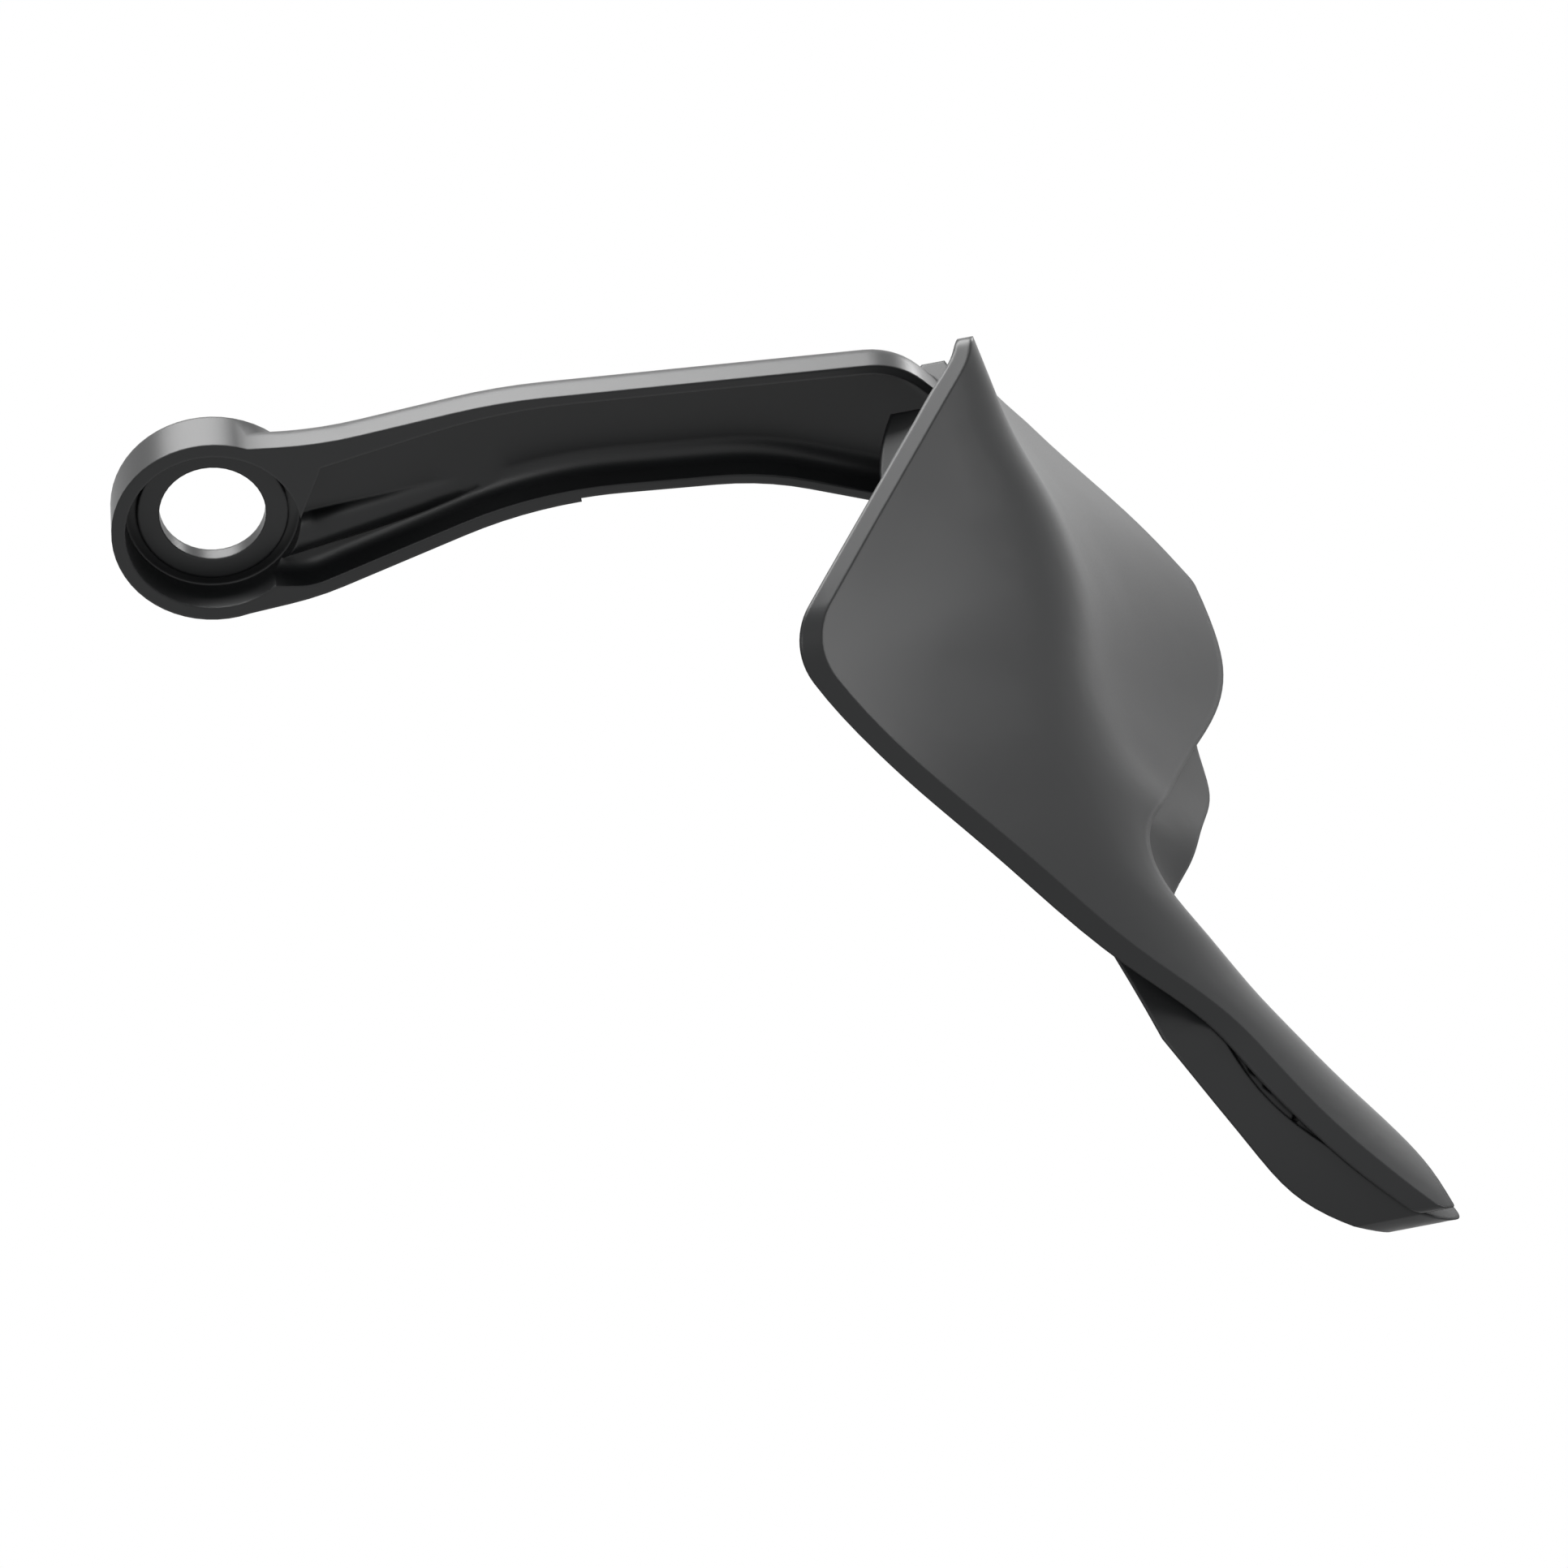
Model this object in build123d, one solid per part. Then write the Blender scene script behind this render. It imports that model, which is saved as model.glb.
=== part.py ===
"""Left hand guard for a motorcycle handlebar: carrier, shield, two screws and a threaded insert.

Frame: the origin is the centre of the bar end hole, on the ring's inboard face. +X runs inboard along the
bar, +Y forward and +Z up. Millimetres.
"""
import os
from math import hypot, sqrt

from build123d import *

# Eye round the bar end
EYE_OD = 40.0
CUP_ID = 34.6
HOLE_D = 21.0
RING_OD = 29.8

# Levels along the bar
RIM_X = 7.5
WEB_BACK_X = -3.6
WEB_WALL = 2.4

# Arm, drawn from the side as (Y, Z), with the radius at each inner corner
ARM_TOP = ((9.5, 17.3), (24.0, 15.1), (60.0, 17.0), (138.4, 9.0), (161.0, -20.5))
ARM_TOP_R = (80.0, 120.0, 15.0)
ARM_LOW = ((147.0, -29.5), (108.0, -11.7), (64.0, -6.5), (17.0, -18.2), (3.0, -19.75))
ARM_LOW_R = (60.0, 90.0, 60.0)
ARM_WALL = 2.0
ARM_EDGE_R = 6.4
POCKET_START = (23.4, 10.0)
POCKET_END = (9.0, -14.6)
POCKET_CORNER_R = 12.0
POCKET_EDGE_R = 4.0
BEAD = 0.8
BEAD_DEPTH = 3.0
BEAD_END_Y = 72.0
PAD_FROM = (8.0, -9.2)
PAD_TO = (64.0, -4.2)
PAD_R = 4.4
PAD_END_R = 3.4

# Shield face, y as a function of x and z: a curled panel that falls away past a bent crest
PANEL_AT = (117.2, 109.3, 23.3)
PANEL_SLOPE_X = 0.826
PANEL_SLOPE_Z = 0.563
CURL_FROM_Z = 25.0
CURL = 0.0066
CREST = ((54.5, 41.0), (70.0, 2.0), (111.0, -22.0), (165.0, -92.0))
FALL = 1.08
FIN_BLEND = 5.0
BLEND_GROWTH = 0.12
NOSE = ((131.9, -54.5), (176.2, -88.1))
NOSE_FROM = (114.0, -38.0)
NOSE_FALL = 1.1
NOSE_BLEND = 10.0
SHIELD_WALL = 2.9

# Shield outline from the front as (X, Z)
FIN = (53.4, 39.2)
FIN_R = 5.0
PANEL_CORNER = (117.9, 21.2)
PANEL_CORNER_R = 14.0
INNER_EDGE = ((121.9, 5.0), (131.1, -25.8), (141.3, -46.0), (147.6, -58.0), (154.2, -64.8), (166.2, -76.8))
TIP = (177.6, -91.0)
TIP_R = 1.6
TONGUE_EDGE = ((170.7, -88.6), (160.7, -86.0), (149.4, -80.5), (135.0, -67.0), (127.5, -54.5), (121.3, -45.2))
NOTCH = ((113.8, -40.2), (106.8, -39.6), (97.5, -42.0))
LOWER_EDGE = ((73.5, -48.9), (49.2, -54.5), (38.5, -54.3), (28.0, -51.4))
OUTER_CORNER = (17.3, -47.6)
OUTER_EDGE = (-4.0, -16.6)
OUTER_TOP = (-2.0, -4.3)
OUTER_R = 4.0

# Cross leg of the carrier, outline from the front as (X, Z)
SEAM = 0.4
LEG_WEB = 2.6
LEG_WALL = 2.4
LEG_TOP = ((-3.6, 1.0), (14.0, -3.0), (60.0, -19.0), (105.0, -36.0), (130.0, -50.0), (147.6, -59.2))
LEG_SEAM = ((153.8, -65.3), (165.8, -77.3), (174.5, -88.9))
LEG_LOW = ((171.0, -94.3), (162.6, -92.4), (150.0, -83.0), (137.0, -70.5), (127.0, -61.6), (116.0, -56.4),
           (105.0, -54.8), (93.6, -54.5), (77.4, -57.1), (64.2, -54.5), (40.0, -51.5), (20.5, -44.5))
LEG_OUTER = (-3.6, -20.0)
LEG_BACK_AT = (-10.4, 135.8, -9.2)
LEG_BACK_SLOPE_X = 0.128
LEG_BACK_SLOPE_Z = 0.885
TAIL_FROM = (168.0, -81.5)
TAIL_TO = (176.0, -90.0)
TAIL_ROUND = 0.05
LEG_OUTER_SET = 14.0
LEG_OUTER_FROM_X = 36.0

# Recess with three small openings behind the seam, in a plane of its own
RECESS_AT = (157.5, 179.2, -69.0)
RECESS_ALONG = (0.593, 0.556, -0.583)
RECESS_OUT = (0.701, 0.0, 0.713)
RECESS_L = 29.0
RECESS_W = 5.0
RECESS_DEPTH = 0.7
NICK_DEPTH = 1.2
NICKS = (
    ((-9.1, 0.2), (-6.0, 0.2), (-5.5, -0.8), (-7.0, -1.1)),
    ((-3.6, -0.2), (-1.4, 0.1), (-1.1, -0.9), (-3.4, -1.3)),
    ((3.9, 0.2), (5.4, 0.0), (5.6, -1.6), (4.6, -2.0)),
)

# Screws from behind into bosses on the shield, at (X, Z)
SCREW_AT = ((30.0, -30.0), (80.0, -36.0))
BOSS_D = 8.6
BOSS_REACH = 14.0
BOSS_CLEARANCE = 0.2
SCREW_D = 4.2
SCREW_GRIP = 9.0
SCREW_HOLE_D = 5.2
SCREW_HEAD_D = 9.5
SCREW_HEAD_H = 3.2
SCREW_SOCKET_D = 4.6
SCREW_SOCKET_DEPTH = 1.8
SLEEVE_OD = 13.4
SLEEVE_END = 3.0

# Threaded insert in the tail, at (X, Z)
INSERT_AT = (152.0, -74.5)
INSERT_D = 8.4
INSERT_L = 6.0
INSERT_THREAD_D = 5.0
INSERT_BOSS_D = 12.4
INSERT_SETBACK = 1.5

# Reach of the drawing planes
GRID_STEP = 4.0
GRID_X = (-20.0, 196.0)
GRID_Z = (-110.0, 50.0)
REACH = 400.0
SHEET_TOL = 0.2


def smooth_min(a, b, blend):
    near = max(blend - abs(a - b), 0.0) / blend
    return min(a, b) - near * near * blend / 4


def smooth_max(a, b, blend):
    return -smooth_min(-a, -b, blend)


def past(start, end, x, z):
    """How far (x, z) lies past the line from start to end, on its outboard and lower side."""
    run_x = end[0] - start[0]
    run_z = end[1] - start[1]
    return (run_z * (x - start[0]) - run_x * (z - start[1])) / hypot(run_x, run_z)


def along(start, end, origin, x, z):
    run_x = end[0] - start[0]
    run_z = end[1] - start[1]
    return (run_x * (x - origin[0]) + run_z * (z - origin[1])) / hypot(run_x, run_z)


def face_y(x, z):
    at_x, at_y, at_z = PANEL_AT
    panel = at_y - PANEL_SLOPE_X * (x - at_x) - PANEL_SLOPE_Z * (z - at_z)
    panel += CURL * max(CURL_FROM_Z - z, 0.0) ** 2
    blend = FIN_BLEND + BLEND_GROWTH * max(CREST[0][1] - z, 0.0)
    upper = past(CREST[0], CREST[1], x, z)
    lower = smooth_min(past(CREST[1], CREST[2], x, z), past(CREST[2], CREST[3], x, z), blend)
    fold = smooth_max(smooth_max(upper, lower, blend), 0.0, blend)
    nose = smooth_min(past(*NOSE, x, z), along(*NOSE, NOSE_FROM, x, z), NOSE_BLEND)
    return panel - FALL * fold - NOSE_FALL * smooth_max(nose, 0.0, NOSE_BLEND)


def inside_y(x, z, depth):
    """Y of the surface that lies the given depth inside the face, measured square to it."""
    step = 0.5
    slope_x = (face_y(x + step, z) - face_y(x - step, z)) / (2 * step)
    slope_z = (face_y(x, z + step) - face_y(x, z - step)) / (2 * step)
    return face_y(x, z) - depth * sqrt(1 + slope_x * slope_x + slope_z * slope_z)


def behind_sheet(height):
    """Everything behind the sheet y = height(x, z)."""
    count_x = round((GRID_X[1] - GRID_X[0]) / GRID_STEP)
    count_z = round((GRID_Z[1] - GRID_Z[0]) / GRID_STEP)
    rows = []
    for i in range(count_x + 1):
        x = GRID_X[0] + i * GRID_STEP
        row = []
        for j in range(count_z + 1):
            z = GRID_Z[0] + j * GRID_STEP
            row.append(Vector(x, height(x, z), z))
        rows.append(row)
    sheet = Face.make_surface_from_array_of_points(rows, tol=SHEET_TOL)
    return Solid.extrude(sheet, Vector(0, -REACH, 0))


def behind(depth):
    """Everything behind the surface that lies the given depth inside the shield's face."""
    return behind_sheet(lambda x, z: inside_y(x, z, depth))


def leg_back_y(x, z):
    """Rear edge of the cross leg, a plane that comes forward at the elbow and at the end of the tail."""
    at_x, at_y, at_z = LEG_BACK_AT
    plane = at_y - LEG_BACK_SLOPE_X * (x - at_x) - LEG_BACK_SLOPE_Z * (z - at_z)
    tail = TAIL_ROUND * max(along(TAIL_FROM, TAIL_TO, TAIL_FROM, x, z), 0.0) ** 2
    outer = LEG_OUTER_SET * (max(LEG_OUTER_FROM_X - x, 0.0) / LEG_OUTER_FROM_X) ** 2
    return plane + tail + outer


def front_prism(face):
    """A prism along +Y over an outline drawn from the front."""
    return extrude(face, amount=REACH, dir=(0, 1, 0))


def side_prism(points, x_from, x_to):
    """A prism along X over an outline of straight lines drawn from the side."""
    face = make_face(Plane.YZ * Polyline(*points, close=True))
    return Pos(x_from, 0, 0) * extrude(face, amount=x_to - x_from, dir=(1, 0, 0))


def round_corners(prism, points, radii):
    """Rounds the corners of a side prism, each with its own radius."""
    for (y, z), radius in zip(points, radii):
        corner = prism.edges().filter_by(Axis.X).sort_by_distance((RIM_X, y, z))[0]
        prism = fillet(corner, radius)
    return prism


def long_edges(prism, top, low):
    """The edges of a side prism's outboard face, but for its two end lines."""
    level = prism.faces().sort_by(Axis.X)[0].center().X
    ends = [(top[-1], low[0]), (low[-1], top[0])]
    middles = [Vector(level, (p[0] + q[0]) / 2, (p[1] + q[1]) / 2) for p, q in ends]
    edges = prism.faces().sort_by(Axis.X)[0].edges()
    return [edge for edge in edges if all((edge.center() - m).length > 1 for m in middles)]


def channel(top, top_radii, low, low_radii, x_from, x_to, edge_radius):
    """A side prism with rounded corners and rounded outboard edges, closed by straight end lines."""
    prism = side_prism((*top, *low), x_from, x_to)
    prism = round_corners(prism, top[1:-1], top_radii)
    prism = round_corners(prism, low[1:-1], low_radii)
    return fillet(long_edges(prism, top, low), edge_radius)


def disc(diameter, x_from, x_to):
    turned = Rot(0, 90, 0) * Cylinder(diameter / 2, x_to - x_from, align=(Align.CENTER, Align.CENTER, Align.MIN))
    return Pos(x_from, 0, 0) * turned


def inset(points, wall):
    """The points moved inward by the wall, for a chain that runs clockwise in the front view."""
    moved = []
    for i, (x, z) in enumerate(points):
        before = points[max(i - 1, 0)]
        after = points[min(i + 1, len(points) - 1)]
        run_x = after[0] - before[0]
        run_z = after[1] - before[1]
        scale = wall / hypot(run_x, run_z)
        moved.append((x + run_z * scale, z - run_x * scale))
    return moved


def leg_pocket_face():
    top = inset(LEG_TOP + LEG_SEAM, LEG_WALL)[1:-1]
    low = inset(LEG_LOW, LEG_WALL)[1:]
    inner_x = LEG_OUTER[0] + LEG_WALL
    start = (inner_x, LEG_TOP[0][1] - LEG_WALL)
    corner = (inner_x, LEG_OUTER[1])
    edges = Curve() + [
        Spline(start, *top),
        Line(top[-1], low[0]),
        Spline(*low),
        Line(low[-1], corner),
        Line(corner, start),
    ]
    return make_face(Plane.XZ * edges)


def rod(diameter, at, y_from, y_to):
    """A cylinder along Y at the front view point at."""
    turned = Rot(-90, 0, 0) * Cylinder(diameter / 2, y_to - y_from, align=(Align.CENTER, Align.CENTER, Align.MIN))
    return Pos(at[0], y_from, at[1]) * turned


def boss_end_y(at):
    return face_y(*at) - BOSS_REACH


def sleeve_end_y(at):
    return boss_end_y(at) - BOSS_CLEARANCE - SLEEVE_END


def insert_y():
    return leg_back_y(*INSERT_AT) + INSERT_SETBACK


def make_shield():
    edges = Curve() + [
        Line(FIN, PANEL_CORNER),
        Spline(PANEL_CORNER, *INNER_EDGE, TIP),
        Spline(TIP, *TONGUE_EDGE, *NOTCH, *LOWER_EDGE, OUTER_CORNER),
        Line(OUTER_CORNER, OUTER_EDGE),
        Line(OUTER_EDGE, OUTER_TOP),
        Line(OUTER_TOP, FIN),
    ]
    prism = front_prism(make_face(Plane.XZ * edges))
    for (x, z), radius in ((FIN, FIN_R), (PANEL_CORNER, PANEL_CORNER_R), (TIP, TIP_R), (OUTER_CORNER, OUTER_R),
                           (OUTER_EDGE, OUTER_R), (OUTER_TOP, OUTER_R)):
        corner = prism.edges().filter_by(Axis.Y).sort_by_distance((x, 0, z))[0]
        prism = fillet(corner, radius)
    blank = prism & behind(0.0)
    sheet = blank - behind(SHIELD_WALL)
    core = behind(SHIELD_WALL / 2)
    for at in SCREW_AT:
        end = boss_end_y(at)
        sheet += rod(BOSS_D, at, end, face_y(*at) + BOSS_D) & core
        sheet -= rod(SCREW_D, at, end, end + SCREW_GRIP)
    return sheet


def make_bead():
    """The thicker lip under the rim, from the eye to a step part of the way along the arm."""
    low = inset(ARM_LOW, -BEAD)[:-1] + [ARM_LOW[-1]]
    lip = side_prism((*low, (ARM_LOW[-1][0], 0), (ARM_LOW[0][0], 0)), RIM_X - BEAD_DEPTH, RIM_X)
    lip = round_corners(lip, low[1:-1], ARM_LOW_R)
    return lip & Box(REACH, 2 * BEAD_END_Y, REACH)


def make_pad(floor_x):
    """The swelling of the arm's floor beside the lip: a cone that sinks into the floor."""
    start = Vector(floor_x, *PAD_FROM)
    run = Vector(floor_x - PAD_END_R, *PAD_TO) - start
    cone = Cone(PAD_R, PAD_END_R, run.length, align=(Align.CENTER, Align.CENTER, Align.MIN))
    above = Pos(floor_x - WEB_WALL / 2, 0, 0) * Box(REACH, REACH, REACH, align=(Align.MIN, Align.CENTER, Align.CENTER))
    return Plane(start, z_dir=run) * cone & above


def cut_recess(body):
    """The shallow recess behind the seam, with its three small openings."""
    plane = Plane(RECESS_AT, x_dir=RECESS_ALONG, z_dir=RECESS_OUT)
    left = (-RECESS_L / 2, 0)
    right = (RECESS_L / 2, 0)
    rim = Curve() + [
        ThreePointArc(left, (0, RECESS_W / 2), right),
        ThreePointArc(right, (0, -RECESS_W / 2), left),
    ]
    lens = extrude(make_face(rim), amount=RECESS_DEPTH + RECESS_W, dir=(0, 0, 1))
    body -= plane * Pos(0, 0, -RECESS_DEPTH) * lens
    for points in NICKS:
        nick = make_face(Polyline(*points, close=True))
        nick = extrude(nick, amount=NICK_DEPTH + RECESS_DEPTH, dir=(0, 0, 1))
        body -= plane * Pos(0, 0, -RECESS_DEPTH - NICK_DEPTH) * nick
    return body


def make_carrier():
    eye = disc(EYE_OD, WEB_BACK_X, RIM_X)
    arm = channel(ARM_TOP, ARM_TOP_R, ARM_LOW, ARM_LOW_R, WEB_BACK_X, RIM_X, ARM_EDGE_R)
    floor_x = WEB_BACK_X + WEB_WALL
    inner_top = (POCKET_START, *inset(ARM_TOP, ARM_WALL)[2:])
    inner_low = (*inset(ARM_LOW, ARM_WALL)[:-1], POCKET_END)
    inner_low_r = (*ARM_LOW_R[:-1], POCKET_CORNER_R)
    pocket = channel(inner_top, ARM_TOP_R[1:], inner_low, inner_low_r, floor_x, RIM_X + 1, POCKET_EDGE_R)
    leg_edges = Curve() + [
        Spline(*LEG_TOP),
        Spline(LEG_TOP[-1], *LEG_SEAM),
        Spline(LEG_SEAM[-1], *LEG_LOW),
        Line(LEG_LOW[-1], LEG_OUTER),
        Line(LEG_OUTER, LEG_TOP[0]),
    ]
    leg_face = make_face(Plane.XZ * leg_edges)
    front = behind(SHIELD_WALL + SEAM)
    web = behind(SHIELD_WALL + SEAM + LEG_WEB)
    back = behind_sheet(leg_back_y)
    leg = front_prism(leg_face) & front
    leg -= back
    leg_pocket = front_prism(leg_pocket_face()) & web
    leg_pocket -= behind_sheet(lambda x, z: leg_back_y(x, z) - 1)
    cup = disc(CUP_ID, floor_x, RIM_X + 1)
    ring = disc(RING_OD, WEB_BACK_X, 0)
    hole = disc(HOLE_D, WEB_BACK_X - 1, RIM_X + 1)
    body = arm + make_bead() + eye + leg - pocket - cup - leg_pocket
    body = body + make_pad(floor_x) - cup + ring - hole
    for at in SCREW_AT:
        end = sleeve_end_y(at)
        body += rod(SLEEVE_OD, at, end, face_y(*at) + SLEEVE_OD) & front
        body -= rod(BOSS_D + 2 * BOSS_CLEARANCE, at, end + SLEEVE_END, face_y(*at) + SLEEVE_OD)
        body -= rod(SCREW_HOLE_D, at, end - 1, end + SLEEVE_END + 1)
    y = insert_y()
    body += rod(INSERT_BOSS_D, INSERT_AT, y, face_y(*INSERT_AT) + INSERT_BOSS_D) & front
    body -= rod(INSERT_D, INSERT_AT, y, y + INSERT_L)
    return cut_recess(body)


def make_screw(at):
    end = sleeve_end_y(at)
    screw = rod(SCREW_HEAD_D, at, end - SCREW_HEAD_H, end)
    screw += rod(SCREW_D, at, end - SCREW_HEAD_H, boss_end_y(at) + SCREW_GRIP)
    hexagon = front_prism(Plane.XZ * Pos(at[0], at[1]) * RegularPolygon(SCREW_SOCKET_D / 2, 6))
    socket = rod(SCREW_HEAD_D, at, end - SCREW_HEAD_H - 1, end - SCREW_HEAD_H + SCREW_SOCKET_DEPTH)
    return screw - (hexagon & socket)


def make_insert():
    y = insert_y()
    return rod(INSERT_D, INSERT_AT, y, y + INSERT_L) - rod(INSERT_THREAD_D, INSERT_AT, y - 1, y + INSERT_L + 1)


if __name__ == "__main__":
    os.makedirs("parts", exist_ok=True)
    export_step(make_shield(), "parts/shield.step")
    export_step(make_carrier(), "parts/carrier.step")
    export_step(Compound(children=[make_screw(at) for at in SCREW_AT]), "parts/shield_screws.step")
    export_step(make_insert(), "parts/tail_insert.step")
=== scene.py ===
"""Looks for the left hand guard: satin moulded plastic, plated screws, a brass insert, soft studio light."""
import math

import bmesh
import bpy
from mathutils import Matrix, Vector


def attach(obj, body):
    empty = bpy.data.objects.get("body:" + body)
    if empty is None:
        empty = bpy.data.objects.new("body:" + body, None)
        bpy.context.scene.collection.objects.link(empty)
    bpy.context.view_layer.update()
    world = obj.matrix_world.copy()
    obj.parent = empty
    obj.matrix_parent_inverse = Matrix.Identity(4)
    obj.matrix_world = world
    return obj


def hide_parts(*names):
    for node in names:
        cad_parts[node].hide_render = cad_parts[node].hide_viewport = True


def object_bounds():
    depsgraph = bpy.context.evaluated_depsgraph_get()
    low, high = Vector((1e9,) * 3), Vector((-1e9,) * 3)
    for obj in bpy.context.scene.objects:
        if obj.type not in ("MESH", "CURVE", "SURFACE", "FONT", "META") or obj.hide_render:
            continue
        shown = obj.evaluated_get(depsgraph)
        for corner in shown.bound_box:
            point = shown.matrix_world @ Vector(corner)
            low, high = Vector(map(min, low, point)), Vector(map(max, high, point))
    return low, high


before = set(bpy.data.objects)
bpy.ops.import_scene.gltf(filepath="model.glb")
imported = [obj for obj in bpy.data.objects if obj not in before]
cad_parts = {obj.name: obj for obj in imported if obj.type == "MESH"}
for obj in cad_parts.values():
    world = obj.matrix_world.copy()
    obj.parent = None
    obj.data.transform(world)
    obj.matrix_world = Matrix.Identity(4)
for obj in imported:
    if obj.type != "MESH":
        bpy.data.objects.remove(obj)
cad_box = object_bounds()

MM = 0.001
WHITE = (1, 1, 1, 1)

# The CAD triangles are loose: corners nearer than this are one point.
MERGE_MM = 0.002
# Edges that turn by more than this many degrees stay sharp.
PLASTIC_SHARP = 32
METAL_SHARP = 30

# Flow marks from the moulding, only just seen in the colour.
FLOW_MM = 40
# The eroded grain is about 0.1 mm on the real part and is drawn coarser so that it shows.
GRAIN_MM = 0.35
GRAIN_DEPTH_MM = 0.02
GRAIN_SHEEN = 0.04
# Tool marks on the turned metal, seen only as a change of gloss.
TOOL_MARK_MM = 0.3
TOOL_MARK_GLOSS = 0.06

# How far inboard and up a point lies, and the stretch in which a rolled edge becomes a broken one.
INBOARD_UP = (0.75, 0.0, 0.66)
ROLL_ENDS_MM = 62
BREAK_BEGINS_MM = 70

FLOOR_HALF = 3.0
FLOOR_BELOW = 0.12
WORLD_COLOUR = (0.9, 0.95, 1.0, 1)
WORLD_STRENGTH = 0.12

GUARD_MIDDLE = (0.08, 0.11, -0.02)
PANEL_MIDDLE = (0.11, 0.11, 0.0)
# Name, place, aim, width and height in metres, and watts.
SOFT_BOXES = (
    ("top_light", (-1.0, -0.05, 0.95), GUARD_MIDDLE, 1.0, 1.1, 30),
    ("front_light", (0.17, 0.66, 0.10), PANEL_MIDDLE, 0.14, 0.14, 0.6),
    ("rim_light", (-1.2, 1.0, 0.12), GUARD_MIDDLE, 0.30, 0.30, 6),
    ("high_light", (0.75, -0.4, 1.2), GUARD_MIDDLE, 0.4, 0.4, 3),
)

# The photograph's camera, fitted to points of the guard that it shows.
LENS_MM = 139.75
SENSOR_MM = 36.0
CAMERA_PLACE = Vector((1.0327, 0.1007, 0.6156))
CAMERA_RIGHT = Vector((0.10531, 0.98238, -0.15437))
CAMERA_BACK = Vector((0.82610, 0.0, 0.56353))


def srgb(code):
    """An sRGB hex value as linear red, green, blue and alpha."""
    channels = [int(code[i:i + 2], 16) / 255 for i in (1, 3, 5)]
    linear = [c / 12.92 if c <= 0.04045 else ((c + 0.055) / 1.055) ** 2.4 for c in channels]
    return (*linear, 1.0)


def add(tree, kind, settings=None, inputs=None, links=None):
    """Adds a node, sets its properties and sockets, and links sockets from other nodes."""
    node = tree.nodes.new(kind)
    for name, value in (settings or {}).items():
        setattr(node, name, value)
    for name, value in (inputs or {}).items():
        node.inputs[name].default_value = value
    for name, source in (links or {}).items():
        tree.links.new(source, node.inputs[name])
    return node


def new_material(name):
    """A new material, with its node tree and its shader."""
    material = bpy.data.materials.new(name)
    material.use_nodes = True
    return material, material.node_tree, material.node_tree.nodes["Principled BSDF"]


def moulded_plastic(name, dark, light, roughness, edge_mm, rolled_mm):
    """Glass-filled nylon from a finely eroded mould: near black, satin, with a fine even grain.

    Its edges shade as if broken by edge_mm on the inboard side and rolled by rolled_mm on the outboard side.
    """
    material, tree, shader = new_material(name)
    shader.inputs["IOR"].default_value = 1.5
    shader.inputs["Specular IOR Level"].default_value = 0.35
    place = add(tree, "ShaderNodeTexCoord").outputs["Object"]
    flow = add(tree, "ShaderNodeTexNoise",
               inputs={"Scale": 1 / (FLOW_MM * MM), "Detail": 3.0, "Roughness": 0.5},
               links={"Vector": place})
    tone = add(tree, "ShaderNodeMix", {"data_type": "RGBA"}, {"A": srgb(dark), "B": srgb(light)},
               {"Factor": flow.outputs["Fac"]})
    grain = add(tree, "ShaderNodeTexNoise",
                inputs={"Scale": 1 / (GRAIN_MM * MM), "Detail": 2.0, "Roughness": 0.6},
                links={"Vector": place})
    sheen = add(tree, "ShaderNodeMapRange",
                inputs={"To Min": roughness - GRAIN_SHEEN, "To Max": roughness + GRAIN_SHEEN},
                links={"Value": grain.outputs["Fac"]})
    across = add(tree, "ShaderNodeVectorMath", {"operation": "DOT_PRODUCT"}, {1: INBOARD_UP}, {0: place})
    softness = add(tree, "ShaderNodeMapRange",
                   inputs={"From Min": ROLL_ENDS_MM * MM, "From Max": BREAK_BEGINS_MM * MM,
                           "To Min": rolled_mm * MM, "To Max": edge_mm * MM},
                   links={"Value": across.outputs["Value"]})
    edge = add(tree, "ShaderNodeBevel", {"samples": 8}, links={"Radius": softness.outputs["Result"]})
    bump = add(tree, "ShaderNodeBump", inputs={"Strength": 0.12, "Distance": GRAIN_DEPTH_MM * MM},
               links={"Height": grain.outputs["Fac"], "Normal": edge.outputs["Normal"]})
    tree.links.new(tone.outputs["Result"], shader.inputs["Base Color"])
    tree.links.new(sheen.outputs["Result"], shader.inputs["Roughness"])
    tree.links.new(bump.outputs["Normal"], shader.inputs["Normal"])
    return material


def turned_metal(name, colour, roughness):
    """Turned metal: a bright surface whose gloss changes with the marks of the tool."""
    material, tree, shader = new_material(name)
    shader.inputs["Metallic"].default_value = 1.0
    shader.inputs["Base Color"].default_value = srgb(colour)
    place = add(tree, "ShaderNodeTexCoord").outputs["Object"]
    marks = add(tree, "ShaderNodeTexNoise", inputs={"Scale": 1 / (TOOL_MARK_MM * MM), "Detail": 2.0},
                links={"Vector": place})
    gloss = add(tree, "ShaderNodeMapRange",
                inputs={"To Min": roughness - TOOL_MARK_GLOSS, "To Max": roughness + TOOL_MARK_GLOSS},
                links={"Value": marks.outputs["Fac"]})
    tree.links.new(gloss.outputs["Result"], shader.inputs["Roughness"])
    return material


def add_object(name, shape, material):
    """Turns a bmesh into an object of one material."""
    mesh = bpy.data.meshes.new(name)
    shape.to_mesh(mesh)
    shape.free()
    mesh.materials.append(material)
    piece = bpy.data.objects.new(name, mesh)
    bpy.context.scene.collection.objects.link(piece)
    return piece


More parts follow.
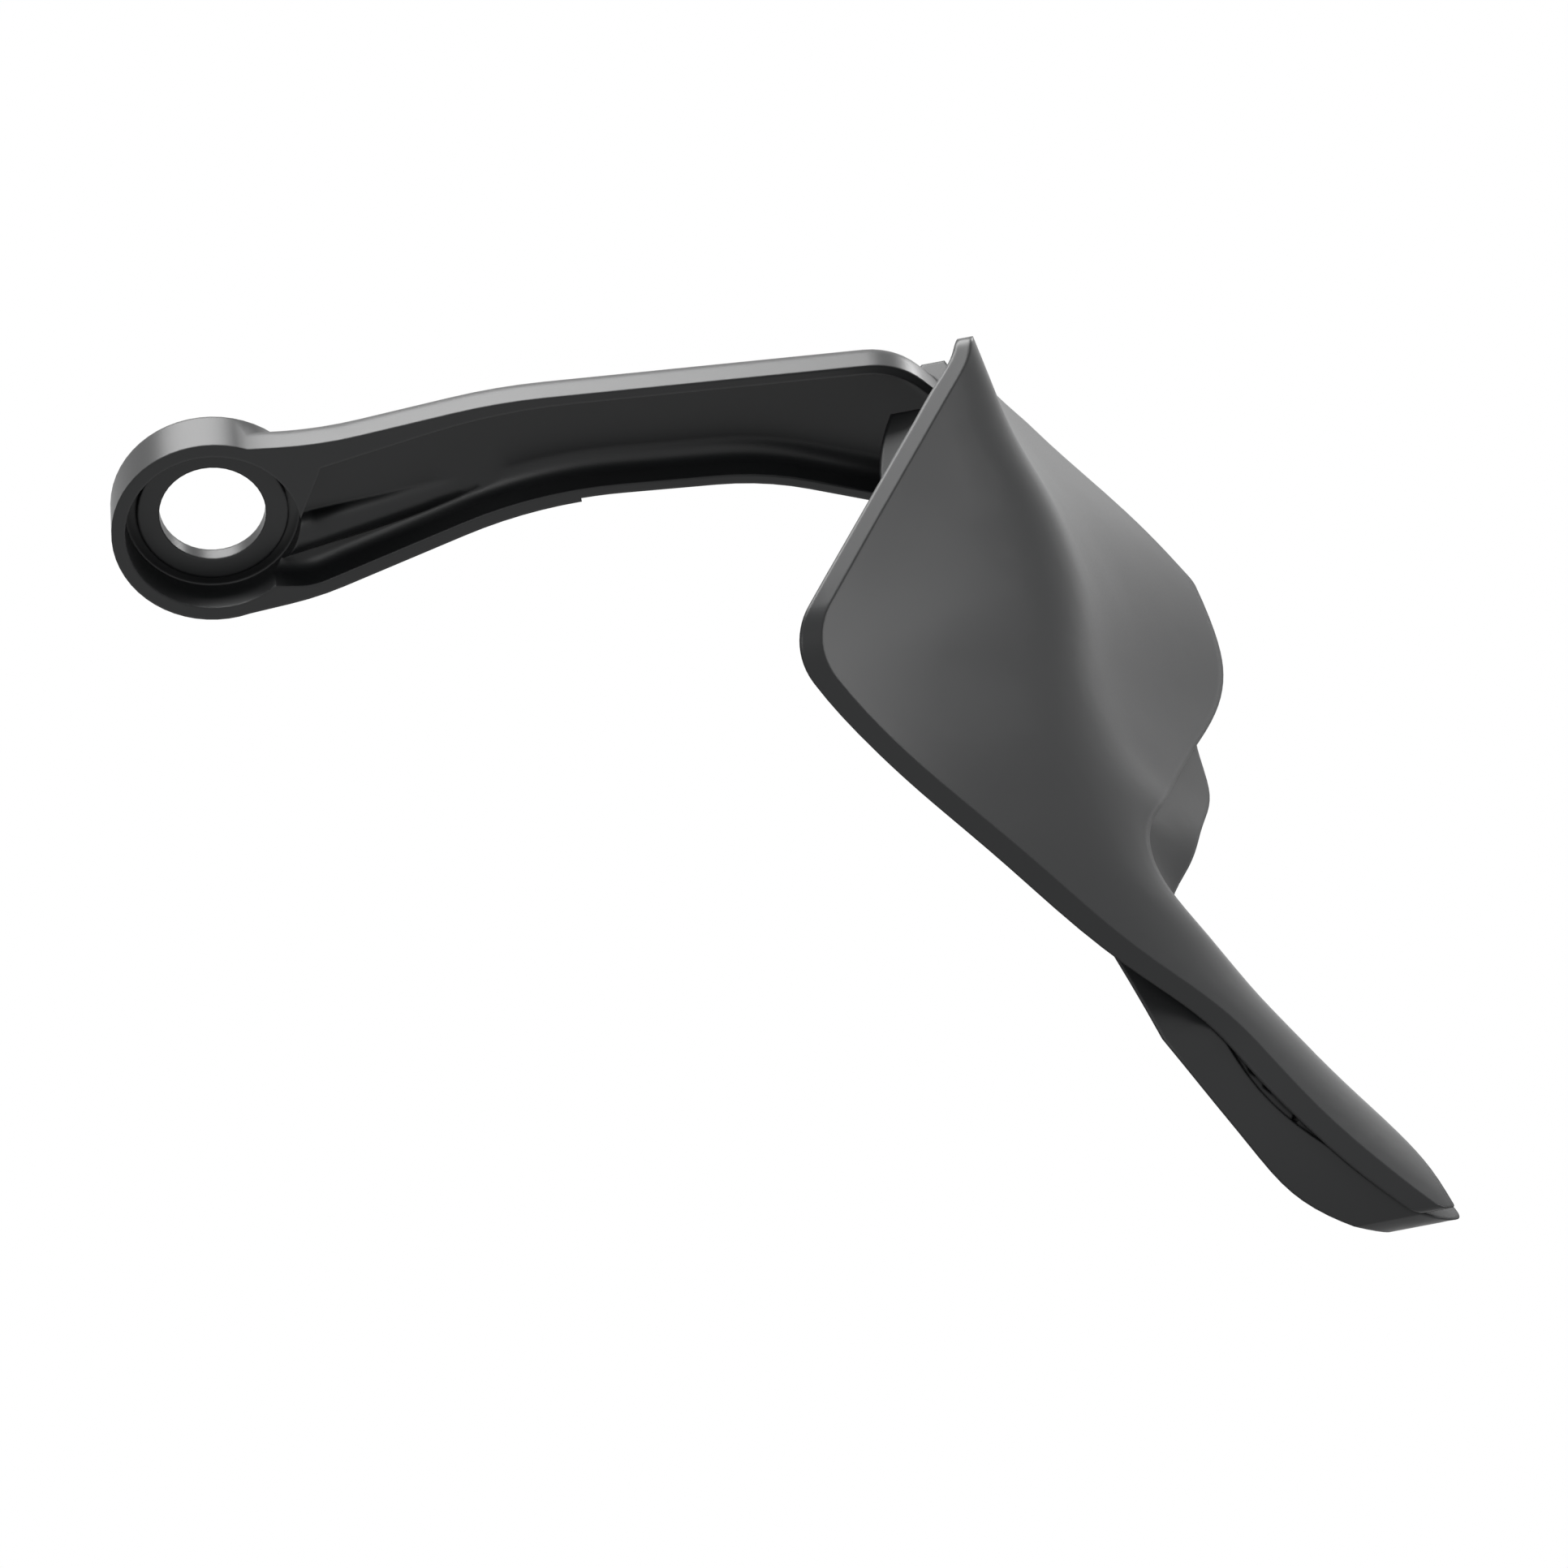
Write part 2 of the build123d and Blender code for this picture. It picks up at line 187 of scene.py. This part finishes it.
def smooth_copy(node, name, material, sharp_degrees):
    """A merged copy of a CAD node, smooth but for its sharp edges, that stands for the node."""
    shape = bmesh.new()
    shape.from_mesh(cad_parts[node].data)
    bmesh.ops.remove_doubles(shape, verts=shape.verts, dist=MERGE_MM * MM)
    for face in shape.faces:
        face.smooth = True
    for edge in shape.edges:
        edge.smooth = len(edge.link_faces) == 2 and edge.calc_face_angle() < math.radians(sharp_degrees)
    piece = add_object(name, shape, material)
    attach(piece, "root")
    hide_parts(node)


def white_to_the_eye(tree):
    """One for a ray from the camera, a reflection or a ray through glass, and zero for the light."""
    path = add(tree, "ShaderNodeLightPath")
    total = path.outputs["Is Camera Ray"]
    for ray in ("Is Glossy Ray", "Is Transmission Ray"):
        step = add(tree, "ShaderNodeMath", {"operation": "MAXIMUM"}, links={0: total, 1: path.outputs[ray]})
        total = step.outputs[0]
    return total


def show_white(tree, plain, white, output):
    """Shows white to the eye and plain to the light."""
    blend = add(tree, "ShaderNodeMixShader",
                links={"Fac": white_to_the_eye(tree), 1: plain.outputs[0], 2: white.outputs[0]})
    add(tree, output, links={"Surface": blend.outputs[0]})


def white_stage_material(name, shade):
    """White to the camera and in reflections, and a plain pale surface for the light itself."""
    material, tree, _ = new_material(name)
    tree.nodes.clear()
    pale = add(tree, "ShaderNodeBsdfDiffuse", inputs={"Color": srgb(shade)})
    white = add(tree, "ShaderNodeEmission", inputs={"Color": WHITE, "Strength": 1.0})
    show_white(tree, pale, white, "ShaderNodeOutputMaterial")
    return material


def add_floor(height):
    """A plain pale floor well below the guard."""
    shape = bmesh.new()
    bmesh.ops.create_grid(shape, x_segments=1, y_segments=1, size=FLOOR_HALF)
    bmesh.ops.translate(shape, verts=shape.verts, vec=Vector((0, 0, height)))
    piece = add_object("studio_floor", shape, white_stage_material("pale_floor", "#d8d8d8"))


def add_world():
    """A dim, slightly cool light from all round, in front of white paper."""
    world = bpy.data.worlds.new("soft_studio")
    bpy.context.scene.world = world
    world.use_nodes = True
    tree = world.node_tree
    tree.nodes.clear()
    around = add(tree, "ShaderNodeBackground", inputs={"Color": WORLD_COLOUR, "Strength": WORLD_STRENGTH})
    paper = add(tree, "ShaderNodeBackground", inputs={"Color": WHITE, "Strength": 1.0})
    show_white(tree, around, paper, "ShaderNodeOutputWorld")


def soft_box(name, place, aim, width, height, watts):
    """A rectangular lamp that faces a point."""
    lamp = bpy.data.lights.new(name, "AREA")
    lamp.shape = "RECTANGLE"
    lamp.size = width
    lamp.size_y = height
    lamp.energy = watts
    box = bpy.data.objects.new(name, lamp)
    bpy.context.scene.collection.objects.link(box)
    towards = Vector(aim) - Vector(place)
    box.matrix_world = Matrix.Translation(place) @ towards.to_track_quat("-Z", "Y").to_matrix().to_4x4()


def add_camera():
    """The camera at the photograph's viewing angle."""
    lens = bpy.data.cameras.new("photo_camera")
    lens.lens = LENS_MM
    lens.sensor_width = SENSOR_MM
    lens.sensor_fit = "HORIZONTAL"
    camera = bpy.data.objects.new("photo_camera", lens)
    bpy.context.scene.collection.objects.link(camera)
    up = CAMERA_BACK.cross(CAMERA_RIGHT)
    rows = zip(CAMERA_RIGHT, up, CAMERA_BACK, CAMERA_PLACE)
    camera.matrix_world = Matrix((*rows, (0.0, 0.0, 0.0, 1.0)))
    bpy.context.scene.camera = camera


carrier_plastic = moulded_plastic("moulded_nylon_black", "#1e1f20", "#222324", 0.38, 0.8, 0.8)
shield_plastic = moulded_plastic("moulded_nylon_dark_grey", "#242526", "#28292a", 0.33, 0.7, 1.9)
screw_steel = turned_metal("zinc_plated_steel", "#b4b6b8", 0.32)
insert_brass = turned_metal("turned_brass", "#c9a75e", 0.28)

smooth_copy("carrier", "carrier_moulding", carrier_plastic, PLASTIC_SHARP)
smooth_copy("shield", "shield_moulding", shield_plastic, PLASTIC_SHARP)
smooth_copy("shield_screws", "screws_from_behind", screw_steel, METAL_SHARP)
smooth_copy("tail_insert", "threaded_insert", insert_brass, METAL_SHARP)

add_floor(cad_box[0][2] - FLOOR_BELOW)
add_world()
for settings in SOFT_BOXES:
    soft_box(*settings)
add_camera()
bpy.context.scene.view_settings.view_transform = "Standard"
